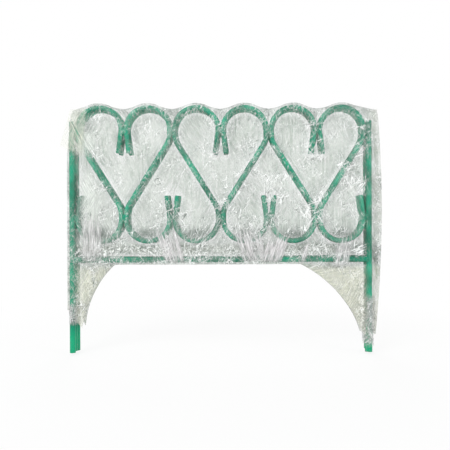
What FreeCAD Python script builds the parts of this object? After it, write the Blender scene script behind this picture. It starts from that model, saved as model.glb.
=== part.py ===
# Garden edging fence: three like sections of green tube, stacked face to face and wrapped in film.
# Millimetres, +Z up. X runs along the fence, Y runs back through the stack, and the origin is
# the middle of the front section's left foot.
import FreeCAD, Part
import math
import os

from FreeCAD import Vector

# Scrolls: each one is a single bent tube, in an S with a hook at each end
SCROLLS = 6
SCROLL_PITCH = 100.0
TUBE_D = 10.0
TUBE_SIDES = 6
TUBE_WALL = 0.8
OPEN_END = 22.0
WELD_GAP = 0.2
HUMP_CENTRE_Z = 460.0
LOBE_CENTRE_Z = 274.0
SHOULDER = 8.5
TAIL_RUN = 43.5
TAIL_LEAN = 7.5

# Posts and rail
POST_D = 12.0
POST_WALL = 1.0
POST_H = 476.0
RAIL_D = 12.0
RAIL_Z = 191.0

# Stack: for each section its shift to the right, then how high its left and right feet stand
STACK_GAP = 0.3
SECTIONS = {
    "front": (0.0, 0.0, 0.0),
    "middle": (0.5, 1.0, -1.5),
    "back": (2.0, -1.0, 0.5),
}
LONG_POST = "middle_right_post"
LONG_POST_EXTRA = 4.0
LONG_POST_SLANT = 5.0

# Film: its thickness here, how far it stands off the tubes, and where it hangs free of them
FILM_T = 1.0
FILM_GAP = 0.3
TOP_SLACK = 3.0
WEB_REACH = 24.0
WEB_SAG = 11.0
FLAP_TOP_X = 0.0
FLAP_TOP_DROP = 14.0
FLAP_REACH = 20.0
FLAP_TIP_DROP = 90.0
FLAP_H = 107.0
LEFT_SLACK = 3.0
RIGHT_TOP_REACH = 13.0
RIGHT_TOP_DROP = 13.0
RIGHT_BULGE = 21.0
RIGHT_BULGE_Z = 250.0
FOOT_SLACK = 6.0
FILM_FOOT_Z = 36.0
ARCH_DROP = 4.0
ARCH_LEFT_REACH = 88.0
ARCH_RIGHT_REACH = 142.0
ARCH_LEFT_SAG = 0.08
ARCH_RIGHT_SAG = 0.1

# Film between the tubes: a shallow dish in each opening, and pleats where it is bunched
DISH_SIDES = 8
DISH_DEPTH = 4.5
DISH_FLOOR = 0.45
DISH_MARGIN = 4.0
HEART_DISH_R = 34.0
HEART_DISH_SHIFT = 3.0
END_DISH_R = 20.0
END_DISH_IN = 32.0
END_DISH_DROP = 110.0
PLEATS = 3
PLEAT_H = 3.5
PLEAT_HIP = 0.15
PLEAT_TOP_Z = 237.0
PLEAT_FOOT_Z = 186.0

# Bunches of pleats: where each starts, where it meets the rail, and its width, all along X
BUNCHES = [(41.0, 42.0, 44.0), (197.0, 221.0, 40.0), (358.0, 380.0, 50.0), (416.0, 408.0, 44.0),
           (577.0, 577.0, 40.0)]

# Worked out from the sizes above
POST_R = POST_D / 2
TUBE_R = TUBE_D / 2
BEND_R = (SCROLL_PITCH - WELD_GAP) / 2 - TUBE_R
SPAN = SCROLLS * SCROLL_PITCH + POST_D
FIRST_X = POST_R + SCROLL_PITCH / 2
STACK_PITCH = max(POST_D, TUBE_D) + STACK_GAP
FILM_FRONT_Y = -POST_R - FILM_GAP
FILM_BACK_Y = (len(SECTIONS) - 1) * STACK_PITCH + POST_R + FILM_GAP
CREST_R = SCROLL_PITCH / 2 + TOP_SLACK
CREST_Z = HUMP_CENTRE_Z + CREST_R
ARCH_Z = RAIL_Z - RAIL_D / 2 - ARCH_DROP
FOREWARD = Vector(0, -1, 0)


def at(x, z):
    """A point, or a step, in the plane of a section."""
    return Vector(x, 0, z)


def bends():
    """The scroll's bending list: runs in mm and bends in degrees, left-hand bends positive."""
    half = (HUMP_CENTRE_Z - LOBE_CENTRE_Z) / 2 - SHOULDER
    slant = math.degrees(math.asin(BEND_R / half))
    hook = 180 + TAIL_LEAN
    half_slant_run = math.sqrt(half ** 2 - BEND_R ** 2)
    first_hook = [("run", TAIL_RUN), ("bend", hook), ("run", SHOULDER), ("bend", slant)]
    last_hook = [(kind, -size if kind == "bend" else size) for kind, size in first_hook[::-1]]
    return first_hook + [("run", 2 * half_slant_run)] + last_hook


def ring(centre, right, up, inner_r, sides):
    """The corners of a regular polygon, in the plane of two unit vectors, round a circle."""
    corner = inner_r / math.cos(math.pi / sides)
    turns = [2 * math.pi * (i + 0.5) / sides for i in range(sides)]
    return [centre + (right * math.cos(turn) + up * math.sin(turn)) * corner for turn in turns]


def flat(corners):
    """A flat face between its corners."""
    return Part.Face(Part.makePolygon([*corners, corners[0]]))


def flat_sided(faces):
    """A closed solid from lists of corners, one list to a face."""
    return Part.Solid(Part.Shell([flat(corners) for corners in faces]))


def bar_end(start, heading):
    """The tube's cross-section, a regular polygon TUBE_D across its flats, square to its path."""
    return flat(ring(start, heading.cross(FOREWARD), FOREWARD, TUBE_R, TUBE_SIDES))


def scroll():
    """One scroll about X = 0, bent run by run, with its upper free end on the right."""
    lean = math.radians(TAIL_LEAN)
    heading = at(math.sin(lean), math.cos(lean))
    point = at(0, HUMP_CENTRE_Z) + at(math.cos(lean), -math.sin(lean)) * BEND_R
    point = point - heading * TAIL_RUN
    bores = [Part.makeCylinder(TUBE_R - TUBE_WALL, OPEN_END, point, heading)]
    end = bar_end(point, heading)
    solids = []
    for kind, size in bends():
        if kind == "run":
            solids.append(end.extrude(heading * size))
            end.translate(heading * size)
            point = point + heading * size
            continue
        left = FOREWARD.cross(heading)
        centre = point + left * math.copysign(BEND_R, size)
        turn = FreeCAD.Rotation(FOREWARD, size)
        solids.append(end.revolve(centre, FOREWARD, size))
        end.rotate(centre, FOREWARD, size)
        point = centre + turn.multVec(point - centre)
        heading = turn.multVec(heading)
    bores.append(Part.makeCylinder(TUBE_R - TUBE_WALL, OPEN_END, point, -heading))
    return solids[0].multiFuse(solids[1:]).cut(bores)


def scrolls():
    """The six scrolls of a section as two sets, odd ones and their mirror images."""
    odd = scroll()
    even = odd.mirror(at(0, 0), Vector(1, 0, 0))
    sets = ([], [])
    for i in range(SCROLLS):
        piece = (odd, even)[i % 2].copy()
        piece.translate(at(FIRST_X + i * SCROLL_PITCH, 0))
        sets[i % 2].append(piece)
    return [Part.makeCompound(pieces) for pieces in sets]


def post(x, extra=0.0, slant=0.0):
    """An upright tube, open at both ends, that may run on lower and end in a slanting cut."""
    foot = at(x, -extra)
    tube = Part.makeCylinder(POST_R, POST_H + extra, foot)
    tube = tube.cut(Part.makeCylinder(POST_R - POST_WALL, POST_H + extra, foot))
    if slant:
        corner = foot + Vector(-POST_D, -POST_R, 0)
        wedge = Part.makePolygon([corner, corner + Vector(0, POST_D, 0), corner + at(0, slant), corner])
        tube = tube.cut(Part.Face(wedge).extrude(at(2 * POST_D, 0)))
    return tube


def rail():
    """The lower rail, its ends coped to fit round the posts."""
    bar = Part.makeCylinder(RAIL_D / 2, SPAN, at(0, RAIL_Z), Vector(1, 0, 0))
    for x in (0, SPAN):
        bar = bar.cut(Part.makeCylinder(POST_R + WELD_GAP, POST_H, at(x, 0)))
    return bar


def sections():
    """Every section's posts, rail and scrolls, set in the stack from the front."""
    made = {}
    for row, (section, (shift, left_foot, right_foot)) in enumerate(SECTIONS.items()):
        odd, even = scrolls()
        right = f"{section}_right_post"
        long = right == LONG_POST
        pieces = {
            f"{section}_left_post": post(0),
            right: post(SPAN, LONG_POST_EXTRA, LONG_POST_SLANT) if long else post(SPAN),
            f"{section}_rail": rail(),
            f"{section}_odd_scrolls": odd,
            f"{section}_even_scrolls": even,
        }
        tilt = math.degrees(math.atan2(right_foot - left_foot, SPAN))
        for name, shape in pieces.items():
            shape.rotate(at(0, 0), FOREWARD, tilt)
            shape.translate(Vector(shift, row * STACK_PITCH, left_foot))
            made[name] = shape
    return made


def arc(a, b, c):
    """An arc from a to c through b."""
    return Part.Arc(a, b, c).toShape()


def sagging(a, c, sag):
    """An arc from a to c that stands off their chord by sag times its length, to the left."""
    chord = c - a
    return arc(a, (a + c) * 0.5 + FOREWARD.cross(chord) * sag, c)


def top_edge():
    """The film's upper edge, left to right: it rides over each hump and sags between them."""
    rise = math.sqrt(CREST_R ** 2 - WEB_REACH ** 2)
    edges = []
    for i in range(SCROLLS):
        x = FIRST_X + i * SCROLL_PITCH
        z = HUMP_CENTRE_Z
        leave = at(x + WEB_REACH, z + rise)
        edges.append(arc(at(x - WEB_REACH, z + rise), at(x, CREST_Z), leave))
        if i < SCROLLS - 1:
            meet = at(x + SCROLL_PITCH - WEB_REACH, z + rise)
            edges.append(arc(leave, at(x + SCROLL_PITCH / 2, CREST_Z - WEB_SAG), meet))
    first = at(FIRST_X - WEB_REACH, HUMP_CENTRE_Z + rise)
    return first, edges, leave


def film_outline():
    """The film seen from the front: crest, right bulge, arch between the legs, left side, flap."""
    first, edges, last = top_edge()
    right_x = SPAN + POST_R
    right_top = at(right_x + RIGHT_TOP_REACH, CREST_Z - RIGHT_TOP_DROP)
    right_bulge = at(right_x + RIGHT_BULGE, RIGHT_BULGE_Z)
    right_foot = at(right_x + FOOT_SLACK, FILM_FOOT_Z)
    right_inner = at(SPAN - POST_R - FOOT_SLACK, FILM_FOOT_Z)
    arch_right = at(SPAN - ARCH_RIGHT_REACH, ARCH_Z)
    arch_left = at(ARCH_LEFT_REACH, ARCH_Z)
    left_inner = at(POST_R + FOOT_SLACK, FILM_FOOT_Z)
    left_x = -POST_R - LEFT_SLACK
    flap_tip = at(left_x - FLAP_REACH + LEFT_SLACK, CREST_Z - FLAP_TIP_DROP)
    corners = [left_inner, at(left_x, FILM_FOOT_Z), at(left_x, CREST_Z - FLAP_H), flap_tip,
               at(FLAP_TOP_X, CREST_Z - FLAP_TOP_DROP), first]
    edges += [
        Part.makeLine(last, right_top),
        arc(right_top, right_bulge, right_foot),
        Part.makeLine(right_foot, right_inner),
        sagging(right_inner, arch_right, -ARCH_RIGHT_SAG),
        Part.makeLine(arch_right, arch_left),
        sagging(arch_left, left_inner, -ARCH_LEFT_SAG),
    ]
    edges += [Part.makeLine(a, b) for a, b in zip(corners, corners[1:])]
    return Part.Wire(edges)


def dishes():
    """Where the film dips in between the tubes: X, Z and radius of each dish."""
    made = []
    for i in range(SCROLLS):
        x = FIRST_X + i * SCROLL_PITCH
        made.append((x, HUMP_CENTRE_Z, BEND_R - TUBE_R - DISH_MARGIN))
        made.append((x, LOBE_CENTRE_Z, BEND_R - TUBE_R - DISH_MARGIN))
    for i in range(SCROLLS - 1):
        shift = HEART_DISH_SHIFT * (-1) ** i
        z = (HUMP_CENTRE_Z + LOBE_CENTRE_Z) / 2 + shift
        made.append((FIRST_X + (i + 0.5) * SCROLL_PITCH, z, HEART_DISH_R))
    for x in (END_DISH_IN, SPAN - END_DISH_IN):
        made.append((x, HUMP_CENTRE_Z - END_DISH_DROP, END_DISH_R))
    return made


def dished(sheet, outer_y, inward):
    """The sheet with its dishes: flat sides slope in to a smaller floor, as thick as the film."""
    hollows = []
    walls = []
    for x, z, radius in dishes():
        centre = at(x, z) + Vector(0, outer_y, 0)
        depth = Vector(0, inward * DISH_DEPTH, 0)
        rim = ring(centre, at(1, 0), at(0, 1), radius, DISH_SIDES)
        floor = ring(centre + depth, at(1, 0), at(0, 1), radius * DISH_FLOOR, DISH_SIDES)
        sides = [(rim[i - 1], rim[i], floor[i], floor[i - 1]) for i in range(DISH_SIDES)]
        hollow = flat_sided([rim, floor, *sides])
        wall = hollow.copy()
        wall.translate(Vector(0, inward * FILM_T, 0))
        hollows.append(hollow)
        walls.append(wall)
    return sheet.multiFuse(walls).cut(hollows)


def pleat(top, foot, half_width):
    """A ridge of gathered film, hipped at both ends, with its base sunk in the front sheet."""
    side = at(half_width, 0)
    base = Vector(0, FILM_FRONT_Y - FILM_T / 2, 0)
    crest = Vector(0, FILM_FRONT_Y - FILM_T - PLEAT_H, 0)
    run = foot - top
    a, b = top - side + base, top + side + base
    c, d = foot + side + base, foot - side + base
    e, f = top + run * PLEAT_HIP + crest, foot - run * PLEAT_HIP + crest
    return flat_sided([(a, b, c, d), (a, d, f, e), (b, e, f, c), (a, e, b), (c, f, d)])


def pleats():
    """The bunches, each a few pleats side by side that run down to the rail."""
    made = []
    for top_x, foot_x, width in BUNCHES:
        half = width / PLEATS / 2
        for i in range(PLEATS):
            over = (2 * i + 1 - PLEATS) * half
            top = at(top_x + over, PLEAT_TOP_Z)
            made.append(pleat(top, at(foot_x + over, PLEAT_FOOT_Z), half))
    return made


def film():
    """The wrap as thin closed solids: a sheet in front, one behind and bands round the edge."""
    outline = film_outline()
    face = Part.Face(outline)
    made = {}
    for name, y, inward in (("film_front", FILM_FRONT_Y, 1), ("film_back", FILM_BACK_Y, -1)):
        sheet = face.extrude(Vector(0, -inward * FILM_T, 0))
        sheet.translate(Vector(0, y, 0))
        made[name] = dished(sheet, y - inward * FILM_T, inward)
    made["film_front"] = made["film_front"].multiFuse(pleats())
    depth = Vector(0, FILM_BACK_Y - FILM_FRONT_Y, 0)
    inside = Part.Face(outline.makeOffset2D(-FILM_T))
    border = face.extrude(depth).cut(inside.extrude(depth))
    border.translate(Vector(0, FILM_FRONT_Y, 0))
    shoulder_z = CREST_Z - max(FLAP_TOP_DROP, RIGHT_TOP_DROP) - FILM_T
    far = SPAN + CREST_Z
    bands = {
        "film_top_band": (-far, far, shoulder_z, far),
        "film_left_band": (-far, -POST_R, FILM_FOOT_Z + FILM_T, shoulder_z),
        "film_right_band": (SPAN + POST_R, far, FILM_FOOT_Z + FILM_T, shoulder_z),
        "film_arch_band": (POST_R, SPAN - POST_R, FILM_FOOT_Z + FILM_T, RAIL_Z),
    }
    for name, (left, right, low, high) in bands.items():
        room = Part.makeBox(right - left, depth.y, high - low, Vector(left, FILM_FRONT_Y, low))
        made[name] = border.common(room)
    return made


def main():
    os.makedirs("parts", exist_ok=True)
    for name, shape in {**sections(), **film()}.items():
        shape.exportStep(f"parts/{name}.step")
        print(name, len(shape.Solids), "solids", round(shape.Volume / 1000, 2), "cm3",
              "valid" if shape.isValid() else "NOT VALID")


main()
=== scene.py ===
# %% [markdown]
# # A garden edging fence in stretch film
# Three like sections of bent green tube stand face to face, and clear stretch film is wound round
# them until they hold together. The posts and rails come ready from the frame. This lesson makes
# the tubes of the scrolls round, adds their welds, gives the enamel its gloss and its wear, and
# then makes the film, which is most of what the eye sees.

import math

import bpy
import numpy as np
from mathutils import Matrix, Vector


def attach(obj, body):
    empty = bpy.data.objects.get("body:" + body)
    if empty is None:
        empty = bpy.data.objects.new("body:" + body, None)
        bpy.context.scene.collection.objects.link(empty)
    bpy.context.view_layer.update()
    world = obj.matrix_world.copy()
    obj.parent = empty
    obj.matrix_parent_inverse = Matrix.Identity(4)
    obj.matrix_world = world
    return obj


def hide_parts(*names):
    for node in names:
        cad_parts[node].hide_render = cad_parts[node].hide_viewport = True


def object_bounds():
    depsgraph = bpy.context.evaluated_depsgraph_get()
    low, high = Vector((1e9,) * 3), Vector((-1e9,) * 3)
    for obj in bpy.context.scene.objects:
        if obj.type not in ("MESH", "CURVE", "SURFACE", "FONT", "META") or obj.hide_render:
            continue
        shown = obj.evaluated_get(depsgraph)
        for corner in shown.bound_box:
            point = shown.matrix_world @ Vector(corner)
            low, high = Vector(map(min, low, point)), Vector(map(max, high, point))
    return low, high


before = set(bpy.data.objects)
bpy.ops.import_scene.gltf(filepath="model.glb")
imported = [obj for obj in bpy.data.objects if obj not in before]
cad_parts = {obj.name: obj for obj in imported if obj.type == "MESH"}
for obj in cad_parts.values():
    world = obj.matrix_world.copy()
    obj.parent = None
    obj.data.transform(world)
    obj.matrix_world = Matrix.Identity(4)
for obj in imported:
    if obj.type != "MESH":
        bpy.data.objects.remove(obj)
cad_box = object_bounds()
MM = 0.001
rng = np.random.default_rng(442)
print("nodes", len(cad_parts), "box", [[round(v, 4) for v in corner] for corner in cad_box])

# %% [markdown]
# ## The camera
# The photograph looks square on at the fence from about one metre, a little below its middle.
# 450 pixels span 929 mm at the front section, which gives the lens. The picture leans by a
# quarter of a degree, so the camera rolls by as much.

# %% Camera
VIEW_DISTANCE = 1000.0
VIEW_WIDTH = 929.0
VIEW_CENTRE = (315.0, 262.0)
VIEW_ROLL = 0.23
SENSOR = 36.0

camera_data = bpy.data.cameras.new("camera")
camera_data.sensor_width = SENSOR
camera_data.lens = SENSOR * VIEW_DISTANCE / VIEW_WIDTH
camera = bpy.data.objects.new("camera", camera_data)
bpy.context.scene.collection.objects.link(camera)
camera.location = (VIEW_CENTRE[0] * MM, -VIEW_DISTANCE * MM, VIEW_CENTRE[1] * MM)
camera.rotation_euler = (math.radians(90), math.radians(VIEW_ROLL), 0)
bpy.context.scene.camera = camera
print("lens", round(camera_data.lens, 1), "mm")

# %% [markdown]
# ## Colours and nodes
# A colour is given as an sRGB hex value, but light adds up in linear values, so one
# function turns one into the other. A second small function adds a node with its settings and
# its links, which keeps each material short enough to read.

# %% Helpers for materials
def linear(hex_text):
    """Linear red, green, blue and a full alpha from #RRGGBB: the sRGB curve taken back."""
    srgb = np.array([int(hex_text[i:i + 2], 16) for i in (1, 3, 5)]) / 255
    light = np.where(srgb <= 0.04045, srgb / 12.92, ((srgb + 0.055) / 1.055) ** 2.4)
    return (*light.tolist(), 1.0)


def add(tree, kind, settings=None, links=None):
    """Adds a node. A setting is a property of the node or else a socket. A link feeds a socket from
    another socket, or from the first output of a node."""
    node = tree.nodes.new(kind)
    for name, value in (settings or {}).items():
        if isinstance(name, str) and hasattr(node, name):
            setattr(node, name, value)
        else:
            node.inputs[name].default_value = value
    for name, source in (links or {}).items():
        output = source.outputs[0] if isinstance(source, bpy.types.Node) else source
        tree.links.new(output, node.inputs[name])
    return node


def new_material(name):
    """An empty node material and its tree."""
    material = bpy.data.materials.new(name)
    material.use_nodes = True
    material.node_tree.nodes.clear()
    return material, material.node_tree


print("mid green in linear light", [round(v, 3) for v in linear("#1F8A60")])

# %% [markdown]
# ## Green gloss enamel
# The tube is dipped or sprayed with gloss enamel and baked. The eye sees a deep green with sharp
# highlights, a faint orange peel about 3 mm across, thinner paler paint here and there, and
# scuffs where the feet knock against things. Above the feet, where film covers the tube, the green
# is darker: painted shade of the film, while the bare feet keep the lighter green. Enamel has an IOR
# near 1.5 and a roughness of 0.17 that scuffs raise to 0.5. Noise in object space carries all of
# it, so it runs on across the pieces.

# %% Enamel
PEEL_MM = 3.0
PAINT_PATCH_MM = 45.0
SCUFF_MM = (1.2, 9.0)
BARE_TOP_MM = 30.0
# The thick paint is darker than the enamel really is: painted shade of the film over the tubes. The foot
# paint is the bare enamel's own green.
THICK_PAINT_AND_SHADE = "#077257"
THIN_PAINT = "#12AE88"
UNSHADED_FOOT_PAINT = "#12AC7C"
SCUFF_COLOUR = "#6E8F80"


def green_enamel():
    """Deep green gloss enamel on steel tube, with scuffs towards the feet and painted shade above them."""
    material, tree = new_material("green_gloss_enamel")
    where = add(tree, "ShaderNodeTexCoord").outputs["Object"]
    coats = add(tree, "ShaderNodeTexNoise", {"Scale": 1 / (PAINT_PATCH_MM * MM), "Detail": 3.0},
                {"Vector": where})
    thin = add(tree, "ShaderNodeMapRange", {"From Min": 0.35, "From Max": 0.7}, {"Value": coats})
    paint = add(tree, "ShaderNodeMix",
                {"data_type": "RGBA", 6: linear(THICK_PAINT_AND_SHADE), 7: linear(THIN_PAINT)}, {0: thin})
    # Below BARE_TOP_MM the bare feet show the foot paint; above it the darker mix holds painted shade.
    height = add(tree, "ShaderNodeSeparateXYZ", {}, {"Vector": where}).outputs["Z"]
    bare = add(tree, "ShaderNodeMapRange",
               {"From Min": 2 * BARE_TOP_MM * MM, "From Max": BARE_TOP_MM * MM}, {"Value": height})
    paint = add(tree, "ShaderNodeMix", {"data_type": "RGBA", 7: linear(UNSHADED_FOOT_PAINT)},
                {0: bare, 6: paint.outputs[2]})
    turned = add(tree, "ShaderNodeMapping",
                 {"vector_type": "TEXTURE",
                  "Scale": (SCUFF_MM[0] * MM, SCUFF_MM[0] * MM, SCUFF_MM[1] * MM)}, {"Vector": where})
    scratch = add(tree, "ShaderNodeTexNoise", {"Scale": 1.0, "Detail": 2.0}, {"Vector": turned})
    low = add(tree, "ShaderNodeMapRange",
              {"From Min": BARE_TOP_MM * MM, "From Max": 0.0, "To Min": 0.0, "To Max": 0.16},
              {"Value": height})
    raised = add(tree, "ShaderNodeMath", {"operation": "ADD"}, {0: scratch, 1: low})
    scuffed = add(tree, "ShaderNodeMapRange", {"From Min": 0.70, "From Max": 0.78}, {"Value": raised})
    colour = add(tree, "ShaderNodeMix", {"data_type": "RGBA", 7: linear(SCUFF_COLOUR)},
                 {0: scuffed, 6: paint.outputs[2]})
    gloss = add(tree, "ShaderNodeMapRange", {"To Min": 0.17, "To Max": 0.5}, {"Value": scuffed})
    peel = add(tree, "ShaderNodeTexNoise", {"Scale": 1 / (PEEL_MM * MM)}, {"Vector": where})
    bump = add(tree, "ShaderNodeBump", {"Strength": 0.25, "Distance": 0.1 * MM}, {"Height": peel})
    shader = add(tree, "ShaderNodeBsdfPrincipled", {"IOR": 1.5, "Specular IOR Level": 0.25},
                 {"Base Color": colour.outputs[2], "Roughness": gloss, "Normal": bump})
    add(tree, "ShaderNodeOutputMaterial", {}, {"Surface": shader})
    return material


enamel = green_enamel()
for name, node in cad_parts.items():
    if name.endswith(("_post", "_rail")):
        node.data.materials.clear()
        node.data.materials.append(enamel)
print("enamelled", sum(n.endswith(("_post", "_rail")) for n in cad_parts), "nodes")

# %% [markdown]
# ## From a grid to a mesh
# Every new surface here is a function of two parameters, worked out for a whole grid at once.
# The grid's neighbours make the faces, and the arrays go into the mesh in one step. Rows run up
# and columns run right, so that a face's normal points at somebody who looks along +Y.

# %% Grids to meshes
def cells(rows, columns, closed):
    """Four corner numbers for each cell of a grid; a closed grid joins its last column to its first."""
    number = np.arange(rows * columns).reshape(rows, columns)
    if closed:
        number = np.concatenate([number, number[:, :1]], axis=1)
    corners = [number[:-1, :-1], number[:-1, 1:], number[1:, 1:], number[1:, :-1]]
    return np.stack(corners, axis=-1).reshape(-1, 4)


def make_piece(name, material, grids, closed=False, fields=None, maps=None):
    """One object from several grids of points in mm, with point fields and UV maps beside them."""
    starts = np.cumsum([0] + [g.shape[0] * g.shape[1] for g in grids[:-1]])
    faces = np.concatenate([cells(*g.shape[:2], closed) + s for g, s in zip(grids, starts)])
    mesh = bpy.data.meshes.new(name)
    mesh.from_pydata(np.concatenate([g.reshape(-1, 3) for g in grids]) * MM, [], faces)
    for field, values in (fields or {}).items():
        layer = mesh.attributes.new(field, "FLOAT", "POINT")
        layer.data.foreach_set("value", np.concatenate([v.ravel() for v in values]).astype(np.float32))
    for field, values in (maps or {}).items():
        layer = mesh.uv_layers.new(name=field)
        flat = np.concatenate([v.reshape(-1, 2) for v in values])
        layer.data.foreach_set("uv", flat[faces.ravel()].astype(np.float32).ravel())
    mesh.shade_smooth()
    mesh.materials.append(material)
    piece = bpy.data.objects.new(name, mesh)
    bpy.context.scene.collection.objects.link(piece)
    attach(piece, "root")
    return piece


# %% [markdown]
# ## The scrolls
# Each scroll is one length of 10 mm tube, bent cold round a former: a short tail, a half turn, a
# shoulder, a long slant, and the same again at the bottom the other way round. Written as complex
# numbers, x + iz, a bend is a multiplication and a left turn is a factor of i, so the whole
# centreline is a few lines. The CAD bars have six sides. These tubes are round, with a chamfered
# cut and a bore at each end, as sawn tube has.

# %% Scroll centreline
TUBE_R = 5.0
TUBE_BORE_R = 4.2
POST_R = 6.0
SCROLL_PITCH = 100.0
SCROLLS = 6
FIRST_X = POST_R + SCROLL_PITCH / 2
SPAN = SCROLLS * SCROLL_PITCH + 2 * POST_R
BEND_R = (SCROLL_PITCH - 0.2) / 2 - TUBE_R
HUMP_Z = 460.0
LOBE_Z = 274.0
RAIL_Z = 191.0
SHOULDER = 8.5
TAIL_RUN = 43.5
TAIL_LEAN = math.radians(7.5)
STACK_PITCH = 12.3
STATION = 3.0
SECTIONS = {"front": (0.0, 0.0, 0.0), "middle": (0.5, 1.0, -1.5), "back": (2.0, -1.0, 0.5)}


def scroll_line(step):
    """The centreline and its heading as complex x + iz: a run adds heading times length, and a
    bend turns the point about its centre, which lies one radius to the left or right."""
    half = (HUMP_Z - LOBE_Z) / 2 - SHOULDER
    slant = math.asin(BEND_R / half)
    hook = [TAIL_RUN, (math.pi + TAIL_LEAN,), SHOULDER, (slant,)]
    last = [(-size[0],) if isinstance(size, tuple) else size for size in hook[::-1]]
    heading = 1j * np.exp(-1j * TAIL_LEAN)
    point = 1j * HUMP_Z + BEND_R * np.exp(-1j * TAIL_LEAN) - heading * TAIL_RUN
    points, headings = [np.array([point])], [np.array([heading])]
    for size in hook + [2 * math.sqrt(half ** 2 - BEND_R ** 2)] + last:
        if isinstance(size, tuple):
            centre = point + 1j * heading * math.copysign(BEND_R, size[0])
            turns = np.linspace(0, size[0], max(2, round(abs(size[0]) * BEND_R / step)) + 1)[1:]
            points.append(centre + (point - centre) * np.exp(1j * turns))
            headings.append(heading * np.exp(1j * turns))
        else:
            run = np.linspace(0, size, max(1, round(size / (3 * step))) + 1)[1:]
            points.append(point + heading * run)
            headings.append(np.full(len(run), heading))
        point, heading = points[-1][-1], headings[-1][-1]
    return np.concatenate(points), np.concatenate(headings)


line, line_heading = scroll_line(STATION)
print("scroll tube", round(float(np.abs(np.diff(line)).sum())), "mm long,", len(line), "stations")

# %% [markdown]
# ## Round tube along that line
# A profile carried along a path: at each station a ring stands square to the heading. Its radius
# follows a short list at each end, in through the bore, round the chamfer and out to full size.

# %% Tubes
RING = 22
BORE_DEPTH = 22.0
CHAMFER = 0.5


def tube(points, headings):
    """Ring point = path + radius (cos a times the left-hand normal - sin a times Y). The stations
    before and after the path run backwards down the bore."""
    ends = [(BORE_DEPTH, 0.0), (BORE_DEPTH, TUBE_BORE_R), (0.0, TUBE_BORE_R),
            (0.0, TUBE_R - CHAMFER), (CHAMFER, TUBE_R)]
    inset = np.array([depth for depth, _ in ends])
    radius = np.array([r for _, r in ends])
    first = points[0] + headings[0] * inset
    last = points[-1] - headings[-1] * inset[::-1]
    path = np.concatenate([first, points[1:-1], last])
    normal = 1j * np.concatenate([np.full(5, headings[0]), headings[1:-1], np.full(5, headings[-1])])
    size = np.concatenate([radius, np.full(len(points) - 2, TUBE_R), radius[::-1]])
    angle = np.linspace(0, 2 * np.pi, RING, endpoint=False)
    flat = path[:, None] + (size * normal)[:, None] * np.cos(angle)
    depth = -size[:, None] * np.sin(angle)
    return np.stack([flat.real, depth, flat.imag], axis=-1)


def in_stack(points, section):
    """Turns points of a section about its left foot by its tilt, then moves it into the stack."""
    row = list(SECTIONS).index(section)
    shift, left_foot, right_foot = SECTIONS[section]
    flat = (points[..., 0] + 1j * points[..., 2]) * np.exp(1j * math.atan2(right_foot - left_foot, SPAN))
    flat = flat + shift + 1j * left_foot
    return np.stack([flat.real, points[..., 1] + row * STACK_PITCH, flat.imag], axis=-1)


def finish_sharp(piece, degrees):
    """Closes the poles of a solid piece and keeps its cut edges crisp."""
    piece.data.validate()
    piece.data.set_sharp_from_angle(angle=math.radians(degrees))


for section in SECTIONS:
    for first_one, word in ((0, "odd"), (1, "even")):
        scrolls = []
        for i in range(first_one, SCROLLS, 2):
            shape = tube(line, line_heading)
            if first_one:
                shape = shape[:, ::-1] * np.array([-1, 1, 1])
            scrolls.append(in_stack(shape + np.array([FIRST_X + i * SCROLL_PITCH, 0, 0]), section))
        piece = make_piece(f"{section}_{word}_scroll_tubes", enamel, scrolls, closed=True)
        finish_sharp(piece, 40)
        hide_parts(f"{section}_{word}_scrolls")
print("scroll tubes", 3 * SCROLLS, "with", RING, "points round")

# %% [markdown]
# ## Welds
# Neighbouring scrolls touch where their bends are widest, and a short run of weld fills the
# groove on either side before the enamel goes on. Each bead is a long low mound: its width and
# height follow a half circle along its length, with ripples where the weld pool froze.

# %% Weld beads
BEAD_LENGTH = 13.0
BEAD_WIDTH = 2.6
BEAD_DEPTH = 2.2
BEAD_Y = 2.6
RIPPLES = 6


def bead(x, z, side, tall):
    """Mound: across = width w(t) sin a, out = depth w(t) cos a, with w(t) = sqrt(1 - t^2)
    times 1 + 0.1 cos(ripples); t runs along the bead and a runs right round it."""
    t = np.linspace(-1, 1, 15)[:, None]
    a = np.linspace(0, 2 * np.pi, 10, endpoint=False)
    swell = np.sqrt(np.clip(1 - t ** 2, 0, 1)) * (1 + 0.1 * np.cos(RIPPLES * np.pi * t))
    along = t * BEAD_LENGTH / 2 + 0 * a
    across = BEAD_WIDTH * swell * np.sin(a)
    out = BEAD_DEPTH * swell * np.cos(a)
    flat = (across, along) if tall else (-along, across)
    return np.stack([x + flat[0], side * BEAD_Y - out, z + flat[1]], axis=-1)


for section in SECTIONS:
    beads = []
    for side in (-1, 1):
        for i in range(SCROLLS + 1):
            x = POST_R + i * SCROLL_PITCH
            beads += [bead(x, z, side, True) for z in (HUMP_Z - SHOULDER / 2, LOBE_Z + SHOULDER / 2)]
        beads += [bead(x, RAIL_Z, side * 1.6, True) for x in (POST_R, SPAN - POST_R)]
    beads = [in_stack(shape, section) for shape in beads]
    piece = make_piece(f"{section}_weld_beads", enamel, beads, closed=True)
    finish_sharp(piece, 60)
print("weld beads", 3 * len(beads))

# %% [markdown]
# ## The outline of the film
# Stretch film takes the shortest way round what it holds. Over the humps it is a string of arcs
# with shallow webs between them, on the right it stands off in a long bulge, and between the legs
# it pulls up to the rail in an arch. Each edge is a circle through three points or a straight line.

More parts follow.
